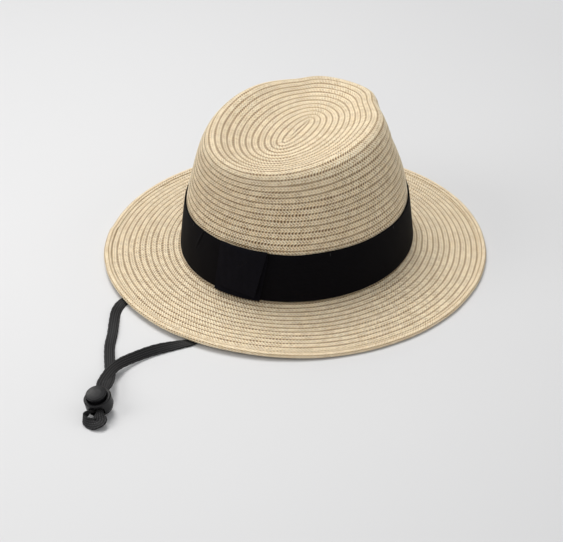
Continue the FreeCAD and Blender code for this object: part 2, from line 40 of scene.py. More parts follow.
# ------------------------------------------------------------------ camera
AZ, EL, DIST = math.radians(212.66), math.radians(33.29), 1.5
back = np.array([math.sin(AZ) * math.cos(EL), -math.cos(AZ) * math.cos(EL), math.sin(EL)])
right = np.array([math.cos(AZ), math.sin(AZ), 0.0])
up = np.cross(back, right)
aim = np.array([-0.0447, 0.0932, 0.045])
cam_data = bpy.data.cameras.new("camera")
cam = bpy.data.objects.new("camera", cam_data)
bpy.context.scene.collection.objects.link(cam)
loc = aim + DIST * back
cam.matrix_world = Matrix([[right[0], up[0], back[0], loc[0]], [right[1], up[1], back[1], loc[1]],
                           [right[2], up[2], back[2], loc[2]], [0, 0, 0, 1]])
cam_data.sensor_width = 36.0
cam_data.sensor_fit = "HORIZONTAL"
cam_data.lens = 36.0 * 1970.07 / 563.0
cam_data.clip_end = 50.0
bpy.context.scene.camera = cam


# ------------------------------------------------------------------ mesh helpers
def add_object(name, me):
    ob = bpy.data.objects.new(name, me)
    bpy.context.scene.collection.objects.link(ob)
    return ob


def grid_mesh(name, P, close_u=True, close_v=False, cap_ends=False, smooth=True, colour=None):
    """P: array (nu, nv, 3) in metres -> quad mesh. colour: (nu, nv, 3) linear colour per point."""
    nu, nv = P.shape[:2]
    iu = np.arange(nu if close_u else nu - 1)
    iv = np.arange(nv if close_v else nv - 1)
    I, J = np.meshgrid(iu, iv, indexing="ij")
    a = (I * nv + J)
    b = (((I + 1) % nu) * nv + J)
    c = (((I + 1) % nu) * nv + (J + 1) % nv)
    d = (I * nv + (J + 1) % nv)
    quads = np.stack([a, b, c, d], -1).reshape(-1, 4)
    loops = quads.ravel()
    polys = len(quads)
    starts = np.arange(polys) * 4
    extra = []
    if cap_ends:
        extra = [np.arange(nv)[::-1].tolist(), ((nu - 1) * nv + np.arange(nv)).tolist()]
        loops = np.concatenate([loops] + [np.array(e) for e in extra])
        st = [polys * 4]
        st.append(st[0] + len(extra[0]))
        starts = np.concatenate([starts, st])
    me = bpy.data.meshes.new(name)
    me.vertices.add(nu * nv)
    me.vertices.foreach_set("co", P.reshape(-1).astype(np.float32))
    me.loops.add(len(loops))
    me.loops.foreach_set("vertex_index", loops.astype(np.int32))
    me.polygons.add(len(starts))
    me.polygons.foreach_set("loop_start", starts.astype(np.int32))
    me.update(calc_edges=True)
    me.validate()
    if smooth:
        me.polygons.foreach_set("use_smooth", np.ones(len(me.polygons), bool))
    if colour is not None:
        at = me.color_attributes.new("straw", "FLOAT_COLOR", "POINT")
        col = np.ones((nu * nv, 4), np.float32)
        col[:, :3] = colour.reshape(-1, 3)
        at.data.foreach_set("color", col.ravel())
    me.update()
    return me


def hash01(a, b, seed=0.0):
    v = np.sin(a * 127.1 + b * 311.7 + seed * 74.7) * 43758.5453
    return v - np.floor(v)


def sstep(x):
    x = np.clip(x, 0, 1)
    return x * x * (3 - 2 * x)


def bspline(P, n):
    """Uniform cubic B-spline through a list of rows, ends held, n samples by equal parameter."""
    P = np.asarray(P, float)
    Q = np.vstack([2 * P[0] - P[1], P, 2 * P[-1] - P[-2]])
    t = np.linspace(0, len(P) - 1 - 1e-9, n)
    i = np.floor(t).astype(int)
    f = (t - i)[:, None]
    a, b, c, d = Q[i], Q[i + 1], Q[i + 2], Q[np.minimum(i + 3, len(Q) - 1)]
    return ((1 - f) ** 3 * a + (3 * f ** 3 - 6 * f ** 2 + 4) * b + (-3 * f ** 3 + 3 * f ** 2 + 3 * f + 1) * c + f ** 3 * d) / 6


# ------------------------------------------------------------------ braid relief
CREAM = np.array([0.94, 0.695, 0.375])
# pale cream that the strands' crests are painted up to: painted highlight
PALE_HIGHLIGHT = np.array([1.0, 0.935, 0.745])
GOLD = np.array([0.47, 0.235, 0.058])
DARK = np.array([0.095, 0.042, 0.012])
PERIOD = 2.6


# the tan argument paints shade: it makes the straw darker and more golden
def braid(q, s, seed, dark=1.0, tan=0.0, relief=1.0):
    """q: row coordinate (whole numbers are seams), s: length along the row in mm.
    Returns the relief in mm and the linear colour."""
    row = np.floor(q)
    f = q - row
    jit = hash01(row, 7.0, seed)
    wob = 0.05 * np.sin(s * 0.21 + row * 2.1) + 0.04 * np.sin(s * 0.083 + row * 1.3 + seed)
    f = np.clip(f + wob * np.sin(np.pi * f), 0, 1)
    e = np.minimum(f, 1 - f)
    g = f - np.round(f)
    c = s / PERIOD + jit
    lane = (f > 0.5) * 1.0
    ph = c + 0.70 * np.abs(2 * f - 1.0) + 0.5 * lane
    cell = np.floor(ph)
    r1 = hash01(row * 2 + lane, cell, seed)
    r2 = hash01(row + 50, np.floor(c), seed + 3)
    r3 = hash01(row * 3 + 11, np.floor(c + 0.5), seed + 5)
    strand = 0.5 + 0.5 * np.cos(2 * np.pi * ph)
    ridge = 1 - np.exp(-(e / 0.10) ** 2)
    mid = np.exp(-((f - 0.5) / 0.12) ** 2)
    seam = np.exp(-(g / 0.15) ** 2)
    dot = (0.5 + 0.5 * np.cos(2 * np.pi * (c + 1.5 * g))) ** 1.5 * (0.80 + 0.35 * r2)
    mdot = (0.5 + 0.5 * np.cos(2 * np.pi * (c + 0.5 - 1.9 * (f - 0.5)))) ** 1.5 * np.clip(0.45 + 0.7 * r3, 0, 1)
    h = -(1 - ridge) * (0.07 + 0.42 * dot) + 0.14 * (f - 0.5) * ridge - 0.14 * mid * (0.35 + 0.65 * mdot) \
        + 0.34 * (strand - 0.5) * ridge * (0.75 + 0.5 * r1)
    # painted highlight: paler on the strands' crests, plus a random tone of the straw; the tan argument takes
    # lightness away as painted shade
    painted_light_and_tone = np.clip(0.42 + 0.58 * strand * ridge + 0.26 * (r1 - 0.5) - tan, 0, 1)
    col = CREAM + (PALE_HIGHLIGHT - CREAM) * painted_light_and_tone[..., None]
    # seam dots and mid dots are the braid's own stitching; the chevrons in the gaps between strands are the braid's
    # own colour plus painted shade in the gaps; the tan term adds painted shade
    col = col + (GOLD - col) * (np.clip(0.14 * seam + 1.35 * seam * dot + 0.55 * mid * mdot + 0.52 * (1 - strand) ** 2 * ridge * (0.5 + 0.5 * r3) + 0.15 * tan, 0, 1))[..., None]
    col = col + (DARK - col) * (np.clip(dark * (0.05 * seam + 2.30 * seam * dot + 0.90 * mid * mdot + 0.20 * (1 - strand) ** 3 * (r3 > 0.6)), 0, 0.95))[..., None]
    tone = 1.0 + 0.05 * (hash01(row, 3.0, seed + 9) - 0.5) + 0.05 * (r1 - 0.5)
    return h * relief, col * tone[..., None]


def along_rows(P, q):
    """Length along the row in mm, the same right across a row, a whole number of plaits round."""
    d = np.linalg.norm(np.roll(P, -1, 0) - P, axis=2)
    s = np.cumsum(d, 0) - d
    tot = d.sum(0)
    u = s / np.maximum(tot, 1e-6)
    q0 = q[0]
    o = np.argsort(q0)
    size = np.interp(np.floor(q) + 0.5, q0[o], tot[o])
    return u * np.maximum(np.round(size / PERIOD), 1) * PERIOD


def normals(P, close_u=True):
    du = np.roll(P, -1, 0) - np.roll(P, 1, 0)
    dv = np.gradient(P, axis=1)
    n = np.cross(du, dv)
    return n / np.maximum(np.linalg.norm(n, axis=2, keepdims=True), 1e-9)


# ------------------------------------------------------------------ crown
LEVELS = [(12.1, 90.5, 96.7), (17.0, 90.1, 96.2), (25.0, 89.5, 95.5), (33.0, 88.9, 94.6), (44.0, 88.1, 93.6),
          (53.0, 87.3, 92.5), (63.4, 85.2, 90.0), (73.8, 82.9, 88.0), (84.2, 80.2, 86.6), (93.6, 77.2, 85.9),
          (101.9, 74.1, 85.5), (109.2, 70.4, 85.3), (115.0, 66.6, 84.9), (118.6, 62.5, 83.6), (119.9, 58.2, 81.0),
          (118.9, 53.2, 76.4), (116.3, 47.1, 69.6), (113.5, 39.5, 60.8), (111.3, 31.4, 51.2), (110.0, 23.4, 42.0),
          (109.3, 15.5, 33.2), (109.0, 8.5, 25.4), (108.9, 3.0, 19.6), (108.9, 0.25, 16.8)]


def crown_surface(L, theta):
    """L: (nv, 3) levels z, ax, ay; theta: (nu,) -> (nu, nv, 3) in mm."""
    z, ax, ay = L[:, 0][None], L[:, 1][None], L[:, 2][None]
    t = theta[:, None]
    up_ = np.clip((z - 53.0) / 64.0, 0, 1.05)
    x, y0 = ax * np.cos(t), ay * np.sin(t)
    front = np.clip(-y0 / 80.0, 0, 1.2)
    z = z + 1.7 * up_
    y = np.where(y0 < 0, y0 * (1 - 0.057 * up_), y0)
    x = x * (1 + 0.134 * front ** 2 * up_)
    r = np.hypot(x, y)
    g = np.clip((z - 63.7) / 35.0, 0, 1) ** 1.5
    d = 0
    for sg in (-1.0, 1.0):
        dt = (np.degrees(t) + 90.0 - sg * 38.1 + 180.0) % 360.0 - 180.0
        w = np.where(dt * sg > 0, 0.427, 0.22)
        d = d + PINCH * np.exp(-(np.radians(dt) / w) ** 2) * g
    d = d * np.clip((ax - 30.0) / 28.0, 0, 1)
    k = 1 - d / np.maximum(r, 20.0) * np.clip(r / 60.0, 0, 1)
    zt = z + 5.35 * np.clip((z - 53.0) / 64.0, 0, 1.2) * (-y0 / 75.0) - 6.5 * front ** 2 * up_ ** 2
    return np.stack([x * k, y * k, zt], -1)


PINCH = 7.26


def even_levels(levels, step):
    D = bspline(levels, 1500)
    m = np.stack([D[:, 0], (D[:, 1] + D[:, 2]) / 2], -1)
    s = np.concatenate([[0], np.cumsum(np.linalg.norm(np.diff(m, axis=0), axis=1))])
    n = int(s[-1] / step)
    ss = np.linspace(0, s[-1], n)
    return np.stack([np.interp(ss, s, D[:, k]) for k in range(3)], -1), ss


def build_crown():
    nu = 1680
    theta = np.linspace(0, 2 * np.pi, nu, endpoint=False)
    L, s = even_levels(LEVELS, 0.48)
    P = crown_surface(L, theta)
    n = normals(P)
    if (n[:, :5] * P[:, :5]).sum() < 0:
        n = -n
    # rows are counted from the centre of the dent down to the foot
    q = (s[-1] - s)[None] / 5.15 + theta[:, None] / (2 * np.pi)
    q = q + 0 * P[..., 0]
    along = along_rows(P, q)
    wall = sstep((s[None] - 0.0) / 8.0) * (1 - sstep((s[None] - 88.0) / 20.0)) + 0 * q
    # on the crown's side wall the dots are darker, and the tan argument paints shade there: the wall darker and more
    # golden than the top, as the light falls from above
    h, col = braid(q, along, 1.0, 0.72 + 0.34 * wall, 0.10 * wall)
    fade = sstep((s[-1] - s) / 3.0)[None]
    outer = P + n * ((h - 0.30) * fade)[..., None]
    # inside of the shell: the same braid, seen from behind and softer
    Li, si = even_levels(LEVELS, 1.6)
    Pi = crown_surface(Li, theta)
    ni = normals(Pi)
    if (ni[:, :5] * Pi[:, :5]).sum() < 0:
        ni = -ni
    qi = (si[-1] - si)[None] / 5.15 + theta[:, None] / (2 * np.pi)
    qi = qi + 0 * Pi[..., 0]
    hi, coli = braid(qi, along_rows(Pi, qi), 2.0)
    inner = Pi - ni * (1.75 + 0.4 * hi * sstep((si[-1] - si) / 3.0)[None])[..., None]
    inner[:, -1] = outer[:, -1] * [1, 1, 1] - [0, 0, 1.7]
    inner[:, 0] = Pi[:, 0] - ni[:, 0] * 1.9
    P2 = np.concatenate([outer, inner[:, ::-1]], 1)
    C2 = np.concatenate([col, coli[:, ::-1] * 0.93], 1)
    me = grid_mesh("braided_crown", P2 * MM, close_v=True, colour=C2)
    return add_object("braided_crown", me)


# ------------------------------------------------------------------ brim
def wave(t, top=2.3):
    d = np.degrees(t) % 360.0
    d = np.where(d > 270, d - 360, d)
    return top * sstep((d - 16.0) / 38.0) * sstep((141.0 - d) / 38.0)


OFF = (0.7, 0.8)            # the brim is not quite centred on the crown


def brim_mid(rho):
    s = np.minimum(1.0, rho / 0.94)
    return 11.0 + (1.95 - 11.0) * (s + 0.10 * np.sin(np.pi * s))


def brim_surface(rho, theta):
    ax = 88.5 + (151.3 - 88.5) * rho
    ay = 94.7 + (154.5 - 94.7) * rho
    t = theta[:, None]
    z = brim_mid(rho)[None] + wave(t) * sstep((rho[None] - 0.15) / 0.7)
    # a soft, low ripple, as hand-blocked brims have
    z = z + 0.55 * np.sin(3 * t + 0.6) * sstep((rho[None] - 0.1) / 0.8) * (1 - sstep((rho[None] - 0.8) / 0.2))
    return np.stack([ax[None] * np.cos(t) + OFF[0] * rho[None], ay[None] * np.sin(t) + OFF[1] * rho[None], z], -1)


def build_brim():
    nu = 2000
    theta = np.linspace(0, 2 * np.pi, nu, endpoint=False)
    rho = np.linspace(0, 1, 136)
    P = brim_surface(rho, theta)
    n = normals(P)
    n = n * np.sign(n[..., 2:3])
    s = rho * 60.8
    q = (s[None] - 1.0) / 4.45 + theta[:, None] / (2 * np.pi)
    q = q + 0 * P[..., 0]
    h, col = braid(q, along_rows(P, q), 5.0, 0.85)
    edge_fade = sstep((1 - rho) / 0.05)[None] * 0.75 + 0.25
    outer = P + n * (0.52 + (h * 0.9 * edge_fade))[..., None]
    rho2 = np.linspace(0, 1, 62)
    P2 = brim_surface(rho2, theta)
    n2 = normals(P2)
    n2 = n2 * np.sign(n2[..., 2:3])
    q2 = (rho2 * 60.8)[None] / 4.45 + theta[:, None] / (2 * np.pi)
    q2 = q2 + 0 * P2[..., 0]
    h2, col2 = braid(q2, along_rows(P2, q2), 6.0)
    under = P2 - n2 * (0.5 + 0.35 * h2)[..., None]
    Pa = np.concatenate([outer, under[:, ::-1]], 1)
    Ca = np.concatenate([col, col2[:, ::-1] * 0.95], 1)
    me = grid_mesh("braided_brim", Pa * MM, close_v=True, colour=Ca)
    return add_object("braided_brim", me)


def build_edge():
    """Folded outermost row: a flattened rope-like tube; its end laps over the row at one place."""
    nu = 2000
    theta = np.linspace(0, 2 * np.pi, nu, endpoint=False)
    prof = [(6.2, 1.2), (5.9, 0.55), (4.5, 0.22), (3.0, 0.12), (1.6, 0.15), (0.55, 0.55), (0.05, 1.3), (0.0, 2.2), (0.22, 3.05),
            (0.9, 3.7), (1.9, 3.98), (3.2, 4.02), (4.6, 3.92), (5.7, 3.7), (6.15, 3.3), (6.3, 2.3)]
    P = np.array(prof + [prof[0]])
    # arc-length even resample of the closed profile
    seg = np.concatenate([[0], np.cumsum(np.linalg.norm(np.diff(P, axis=0), axis=1))])
    nv = 40
    ss = np.linspace(0, seg[-1], nv, endpoint=False)
    a = np.interp(ss, seg, P[:, 0])
    z = np.interp(ss, seg, P[:, 1])
    t = theta[:, None]
    # lap of the row's end, and a slight unevenness
    d = (np.degrees(t) - END_ANGLE) % 360.0
    lap = 1.0 * np.exp(-d / 70.0) * sstep(d / 2.0)
    uneven = 0.10 * np.sin(9 * t + 1.0) + 0.07 * np.sin(23 * t)
    ax = 154.2 - a[None] + lap + uneven
    ay = 157.4 - a[None] + lap + uneven
    Q = np.stack([ax * np.cos(t) + OFF[0], ay * np.sin(t) + OFF[1], z[None] + wave(t) + 0 * ax], -1)
    n = normals(Q)
    cen = Q.mean(1, keepdims=True)
    if ((Q - cen) * n).sum() < 0:
        n = -n
    # braid: one row across the top and the side
    across = ss / seg[-1]
    q = across[None] * 5.0 + 0.32 + 0 * t
    q = q + 0 * Q[..., 0]
    h, col = braid(q, along_rows(Q, q), 11.0, 0.55)
    Q = Q + n * ((h - 0.3) * 0.7)[..., None]
    Q[..., 2] = np.maximum(Q[..., 2], 0.02)
    me = grid_mesh("edge_row", Q * MM, close_v=True, colour=col * 1.0)
    return add_object("edge_row", me)


def build_wire():
    nu, nv = 420, 12
    t = np.linspace(0, 2 * np.pi, nu, endpoint=False)[:, None]
    v = np.linspace(0, 2 * np.pi, nv, endpoint=False)[None]
    r = 0.5 + 0.02 * np.sin(40 * t + 0 * v)
    ax = 151.5 + r * np.cos(v)
    ay = 154.7 + r * np.cos(v)
    z = 2.1 + r * np.sin(v) + wave(t)
    Q = np.stack([ax * np.cos(t) + OFF[0], ay * np.sin(t) + OFF[1], z], -1)
    return add_object("brim_wire_core", grid_mesh("brim_wire_core", Q * MM, close_v=True))


END_ANGLE = 21.0
wire = build_wire()
crown = build_crown()
brim = build_brim()
edge = build_edge()


# ------------------------------------------------------------------ hatband and keeper
def band_radii(z):
    f = (z - 12.6) / 40.0
    return 91.55 + (88.35 - 91.55) * f, 97.75 + (93.6 - 97.75) * f


def build_band():
    nu = 1440
    theta = np.linspace(0, 2 * np.pi, nu, endpoint=False)
    prof = [(12.75, -0.78), (12.62, -0.4), (12.75, 0.0), (14.0, 0.04), (22.0, 0.10), (32.6, 0.12), (43.0, 0.08), (51.0, 0.0),
            (52.35, -0.02), (52.62, -0.35), (52.4, -0.75), (51.0, -0.78), (32.0, -0.72), (14.0, -0.78)]
    pr = np.array(prof + [prof[0]])
    seg = np.concatenate([[0], np.cumsum(np.linalg.norm(np.diff(pr, axis=0), axis=1))])
    ss = np.linspace(0, seg[-1], 96, endpoint=False)
    z = np.interp(ss, seg, pr[:, 0])
    o = np.interp(ss, seg, pr[:, 1])
    t = theta[:, None]
    rx, ry = band_radii(z)
    up_f = (z - 12.6)[None] / 40.0
    # faint puckers where the ribbon bends round the oval, and one crease beside the keeper
    deg = np.degrees(t)
    pucker = 0.10 * np.sin(7 * t + 2.2 * up_f) + 0.06 * np.sin(17 * t - 3.0 * up_f) + 0.04 * np.sin(31 * t + 5 * up_f)
    cd = deg - (70.8 - 12.0 * (1 - up_f))
    cf = sstep((up_f - 0.42) / 0.35)
    crease = (0.50 * np.exp(-((cd + 0.9) / 0.75) ** 2) - 0.45 * np.exp(-(cd / 0.42) ** 2) + 0.15 * np.exp(-((cd - 1.3) / 1.2) ** 2)) * cf
    off = o[None] + pucker * 0.9 + crease + 1.1 * (1 - up_f) ** 0.8 + 0.15
    top_wave = 0.35 * np.sin(5 * t + 0.8) + 0.2 * np.sin(11 * t)
    zz = z[None] + top_wave * sstep(up_f)
    Q = np.stack([(rx[None] + off) * np.cos(t), (ry[None] + off) * np.sin(t), zz], -1)
    me = grid_mesh("ribbon_band", Q * MM, close_v=True)
    return add_object("ribbon_band", me)


def strip_piece(name, path, width_fn, centre_fn, thick=0.9, na=72, seed=0.0):
    """A folded strip of ribbon on the band. path: list of (offset from the band, z);
    width_fn and centre_fn give the half-width and the centre, in degrees, along the path (0..1)."""
    D = bspline(path, 400)
    s = np.concatenate([[0], np.cumsum(np.linalg.norm(np.diff(D, axis=0), axis=1))])
    n = int(s[-1] / 0.4)
    ss = np.linspace(0, s[-1], n)
    o = np.interp(ss, s, D[:, 0])
    z = np.interp(ss, s, D[:, 1])
    u = ss / s[-1]
    tan = np.stack([np.gradient(o), np.gradient(z)], -1)
    tan /= np.linalg.norm(tan, axis=1, keepdims=True)
    nrm = np.stack([tan[:, 1], -tan[:, 0]], -1)          # normal in the (offset, z) plane
    a = np.linspace(-1, 1, na)
    hw, ce = width_fn(u), centre_fn(u)
    A, _ = np.meshgrid(a, u, indexing="ij")
    U = u[None] + 0 * A
    deg = ce[None] + hw[None] * A
    front = sstep((U - 0.50) / 0.10)
    # the free flap stands off the band, more at its right corner, and its weave puckers a little
    lift = front * (0.45 * (A + 1) + 1.1 * np.maximum(0, A) ** 3 * sstep((U - 0.6) / 0.4)) + 0.10 * np.sin(A * 6 + U * 9 + seed) \
        + 0.06 * np.sin(A * 17 - U * 15) + 0.25 * front * sstep((U - 0.85) / 0.15)
    slant = front * (-1.3 * (A + 1) * 0.5 * sstep((U - 0.7) / 0.3) * 1.6)
    sheets = []
    for side in (0.5, -0.5):
        oo = o[None] + nrm[None, :, 0] * thick * side + lift
        zz = z[None] + nrm[None, :, 1] * thick * side + slant
        rx, ry = band_radii(np.clip(zz, 12.6, 54))
        t = np.radians(deg)
        sheets.append(np.stack([(rx + oo) * np.cos(t), (ry + oo) * np.sin(t), zz], -1))
    top, bot = sheets
    # closed loop across the width: along the top face, back along the bottom face
    Q = np.concatenate([top, bot[::-1]], 0)
    Q = np.transpose(Q, (1, 0, 2))
    me = grid_mesh(name, Q * MM, close_u=False, close_v=True, cap_ends=True)
    me.set_sharp_from_angle(angle=math.radians(40))
    return add_object(name, me)


band = build_band()
keeper = strip_piece(
    "ribbon_keeper_fold",
    [(3.9, 12.9), (2.7, 14.8), (2.1, 18.0), (1.6, 27.0), (1.3, 38.0), (1.0, 49.0), (0.95, 52.8), (1.35, 54.4), (2.2, 54.5), (2.9, 53.2),
     (3.1, 50.0), (3.3, 42.0), (3.7, 32.0), (4.2, 24.5), (4.7, 19.6)],
    lambda u: np.interp(u, [0, 0.45, 0.55, 1.0], [12.1, 12.6, 12.6, 10.7]),
    lambda u: np.interp(u, [0, 0.45, 0.55, 1.0], [94.3, 96.7, 96.7, 93.8]))


# ------------------------------------------------------------------ sweatband and label
def build_sweatband():
    nu = 540
    theta = np.linspace(0, 2 * np.pi, nu, endpoint=False)
    prof = [(12.5, -0.05), (12.45, -0.5), (12.7, -0.95), (14.0, -1.0), (15.0, -0.9), (16.2, -1.0), (28.0, -1.05), (42.0, -1.0), (43.9, -0.95),
            (44.3, -0.5), (43.9, -0.06), (42.0, -0.02), (28.0, -0.02), (14.0, -0.02)]
    pr = np.array(prof + [prof[0]])
    seg = np.concatenate([[0], np.cumsum(np.linalg.norm(np.diff(pr, axis=0), axis=1))])
    ss = np.linspace(0, seg[-1], 84, endpoint=False)
    z = np.interp(ss, seg, pr[:, 0])
    o = np.interp(ss, seg, pr[:, 1])
    f = (z - 12.4) / 32.0
    rx = 88.0 + (85.6 - 88.0) * f
    ry = 94.2 + (91.0 - 94.2) * f
    t = theta[:, None]
    off = o[None] + 0.12 * (np.sin(9 * t + 3 * f[None]) - 1) * f[None] + 0.06 * (np.sin(28 * t) - 1) * f[None]
    Q = np.stack([(rx[None] + off) * np.cos(t), (ry[None] + off) * np.sin(t), z[None] + 0 * off], -1)
    me = grid_mesh("sweatband_tape", Q * MM, close_v=True)
    return add_object("sweatband_tape", me)


def build_label():
    na, nb = 40, 26
    a = np.linspace(-15, 15, na)[:, None]
    b = np.linspace(20.6, 38.4, nb)[None]
    y = 89.0 - 0.0055 * a ** 2 - 0.02 * (b - 20.6) + 0.10 * np.sin(a * 0.35 + b * 0.2)
    f = np.stack([a + 0 * b, y + 0 * b, b + 0 * a], -1)
    g = f - [0, 0.35, 0]
    Q = np.concatenate([f, g[:, ::-1]], 1)
    me = grid_mesh("blank_label_tape", Q * MM, close_u=False, close_v=True, cap_ends=True)
    return add_object("blank_label_tape", me)


sweat = build_sweatband()
label = build_label()

# ------------------------------------------------------------------ cord lock frame (as in the design)
AX = np.array([0.0800, 0.2160, 0.9731]); AX /= np.linalg.norm(AX)
HP = np.array([-0.42, 0.907, 0.0]); HP /= np.linalg.norm(HP)
HX = np.array([HP[0], HP[1], -(AX[0] * HP[0] + AX[1] * HP[1]) / AX[2]]); HX /= np.linalg.norm(HX)
YV = np.cross(AX, HX)
P0 = np.array([2.28, 261.57, 1.70])


def lock_point(x, y, z):
    return P0 + x * HX + y * YV + z * AX


def beside_lock(x, y, level):
    p = lock_point(x, y, 7.6)
    return np.array([p[0], p[1], level])


# ------------------------------------------------------------------ chin cord
F = 1.05
HZ = 7.4
route = [((82.0, 14.0, 18.6), 90), ((81.9, 14.8, 12.0), 70), ((79.5, 19.5, 5.2), 30), ((74.0, 29.0, F), 0), ((60.0, 40.0, F), 0),
         ((40.0, 64.0, F), 0), ((36.0, 88.0, F), 0), ((48.0, 107.0, F), 0), ((66.0, 121.0, F), 0), ((73.0, 138.0, F), 2),
         ((69.6, 153.5, 1.2), 24), ((61.8, 166.3, 1.9), 12), ((52.6, 180.9, 1.3), -4), ((45.2, 194.6, 1.5), 14), ((35.0, 208.2, 2.0), 4),
         ((24.2, 221.6, 3.9), 2), ((13.8, 235.5, 8.0), 6),
         (lock_point(-15.5, 2.3, HZ + 0.3), 6),
         (lock_point(12.5, 2.6, HZ), 2), (beside_lock(15.6, 4.6, 5.4), -4), (beside_lock(18.4, 3.8, 4.0), 8),
         (beside_lock(19.4, -0.8, 3.2), 34), (beside_lock(17.6, -6.6, 3.6), 76), (beside_lock(13.6, -9.0, 4.8), 84),
         (beside_lock(10.6, -6.2, 6.4), 62), (lock_point(8.5, -2.4, HZ), 14),
         (lock_point(-15.5, -2.4, HZ), -14), ((17.3, 234.8, 9.2), -20), ((20.4, 222.2, 7.6), -26), ((20.6, 211.8, 6.0), -38),
         ((18.8, 202.9, 4.9), -47), ((16.0, 194.1, 4.3), -50), ((12.7, 185.9, 3.9), -48), ((8.9, 178.3, 3.3), -38), ((4.8, 171.1, 2.5), -26),
         ((0.1, 163.2, 1.6), -10), ((-5.2, 155.6, F), 0), ((-5.4, 143.0, F), 0), ((-3.6, 126.0, F), 0), ((-16.0, 108.0, F), 0),
         ((-34.0, 92.0, F), 0), ((-38.0, 68.0, F), 0), ((-52.0, 48.0, F), 0), ((-74.0, 29.5, F), 0), ((-79.5, 19.8, 5.2), -30),
         ((-81.9, 14.8, 12.0), -70), ((-82.0, 14.0, 18.6), -90)]
A_IN, A_OUT, B_IN, B_OUT = 17, 18, 25, 26          # the route's points at the lock
pts = np.array([r[0] for r in route], float)
twist = np.array([r[1] for r in route], float)
cu = bpy.data.curves.new("cord_line", "CURVE")
cu.dimensions = "3D"
cu.resolution_u = 24
sp = cu.splines.new("NURBS")
sp.points.add(len(pts) - 1)
for k, p in enumerate(pts):
    sp.points[k].co = (p[0] * MM, p[1] * MM, p[2] * MM, 1.0)
sp.order_u = 3
sp.use_endpoint_u = True
cu_ob = bpy.data.objects.new("cord_line", cu)
bpy.context.scene.collection.objects.link(cu_ob)
bpy.context.view_layer.update()
line_me = bpy.data.meshes.new_from_object(cu_ob)
line = np.array([v.co[:] for v in line_me.vertices]) / MM
bpy.data.objects.remove(cu_ob)
seg = np.linalg.norm(np.diff(line, axis=0), axis=1)
cum = np.concatenate([[0], np.cumsum(seg)])
CORD_LEN = float(cum[-1])
n = int(CORD_LEN / 0.55)
ss = np.linspace(0, CORD_LEN, n)
mid_line = np.stack([np.interp(ss, cum, line[:, k]) for k in range(3)], -1)
# where along the line each route point is nearest, in order
near = []
lo = 0
for p in pts:
    d = np.linalg.norm(mid_line[lo:] - p, axis=1)
    win = d[:int(75 / 0.55)]
    j = lo + int(np.argmin(win))
    near.append(j)
    lo = j
near = np.array(near)
keep = np.concatenate([[True], np.diff(near) > 0])
ang = np.radians(np.interp(np.arange(n), near[keep], twist[keep]))
tan = np.gradient(mid_line, axis=0)
tan /= np.linalg.norm(tan, axis=1, keepdims=True)
side = np.cross(tan, [0, 0, 1.0])
side /= np.maximum(np.linalg.norm(side, axis=1, keepdims=True), 1e-6)
upv = np.cross(side, tan)
wdir = side * np.cos(ang)[:, None] + upv * np.sin(ang)[:, None]
tdir = np.cross(tan, wdir)
# the cord is squeezed where it goes through the lock
in_lock = np.zeros(n)
ja, jb, jc, jd = near[A_IN], near[A_OUT], near[B_IN], near[B_OUT]
idx = np.arange(n)
for a0, b0 in ((ja, jb), (jc, jd)):
    in_lock = np.maximum(in_lock, sstep((idx - a0 + 8) / 16.0) * sstep((b0 + 8 - idx) / 16.0))
W = 8.2 + (4.6 - 8.2) * in_lock
# bunched and wide where it comes out of the window
W = W + 1.6 * sstep((idx - near[A_OUT] + 4) / 14.0) * sstep((near[A_OUT] + 26 - idx) / 14.0)
T = 1.75 + (2.7 - 1.75) * in_lock
m = 72
v = np.linspace(0, 2 * np.pi, m, endpoint=False)
# superellipse section with lengthwise ribs
cx = np.sign(np.cos(v)) * np.abs(np.cos(v)) ** 0.75
cy = np.sign(np.sin(v)) * np.abs(np.sin(v)) ** 0.62
rib = 0.5 + 0.5 * np.cos(cx * math.pi * 5.0)
flat_side = np.abs(cy) > 0.25
knit = 0.5 + 0.5 * np.sin(ss[:, None] * 2 * math.pi / 1.7 + np.abs(((cx * 3.0) % 1.0) - 0.5)[None] * 6.0 + np.floor(cx * 3.0)[None] * 1.9)
wx = (W[:, None] / 2) * cx[None]
ty = (T[:, None] / 2 - 0.16) * cy[None] + np.sign(cy)[None] * flat_side[None] * (0.17 * rib[None] + 0.09 * knit * rib[None])
# the edges are a little uneven
edge_wave = 1 + 0.02 * np.sin(ss * 0.9) + 0.015 * np.sin(ss * 2.3 + 1.0)
wx = wx * edge_wave[:, None]
# cord colour: near black, with the ribs' crests painted light grey and the valleys between them darker, following the
# knit stitches: painted highlight and painted shade
black_and_rib_painted_light = 0.0030 + 0.080 * (rib[None] ** 2.5) * (0.12 + 0.88 * knit ** 1.4)
CORD_BLACK_AND_PAINTED_LIGHT = np.stack([black_and_rib_painted_light, black_and_rib_painted_light * 0.97, black_and_rib_painted_light * 1.05], -1)
Q = mid_line[:, None] + wdir[:, None] * wx[..., None] + tdir[:, None] * ty[..., None]
Q[..., 2] = np.maximum(Q[..., 2], 0.06)
cord = add_object("flat_cord", grid_mesh("flat_cord", Q * MM, close_u=False, close_v=True, cap_ends=True, colour=CORD_BLACK_AND_PAINTED_LIGHT))


